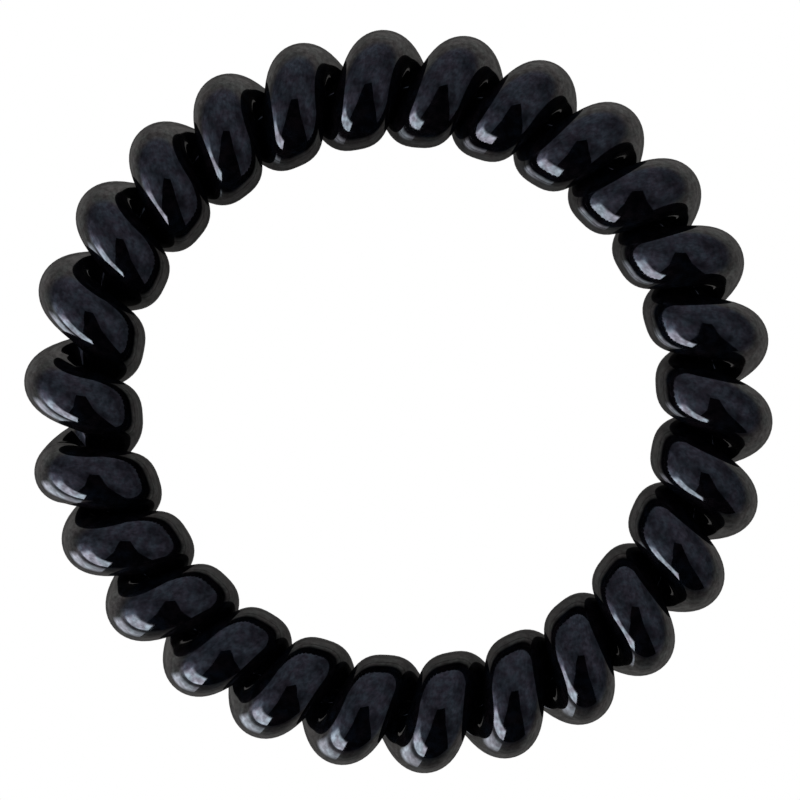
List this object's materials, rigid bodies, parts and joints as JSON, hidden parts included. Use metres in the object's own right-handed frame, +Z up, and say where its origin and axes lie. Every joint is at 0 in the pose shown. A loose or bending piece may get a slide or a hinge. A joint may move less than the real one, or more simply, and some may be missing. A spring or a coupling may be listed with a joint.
{
  "type": "spiral hair tie",
  "caption": "Springy coiled-cord hair tie: one glossy black elastic cord wound as a tight coil and closed into a ring.",
  "frame": {"origin": "under the centre of the ring, on the surface that the turns of the coil rest on", "axes": "+Z up, through the ring's opening; X and Y in the plane of the ring, +Y towards the top of the picture"},
  "size_m": [0.0503, 0.05, 0.0079],
  "materials": {
    "cord": "polished near-black elastomer, solid, with a wet-looking gloss"
  },
  "bodies": {
    "root": {"coiled_cord": "cord"}
  },
  "joints": []
}
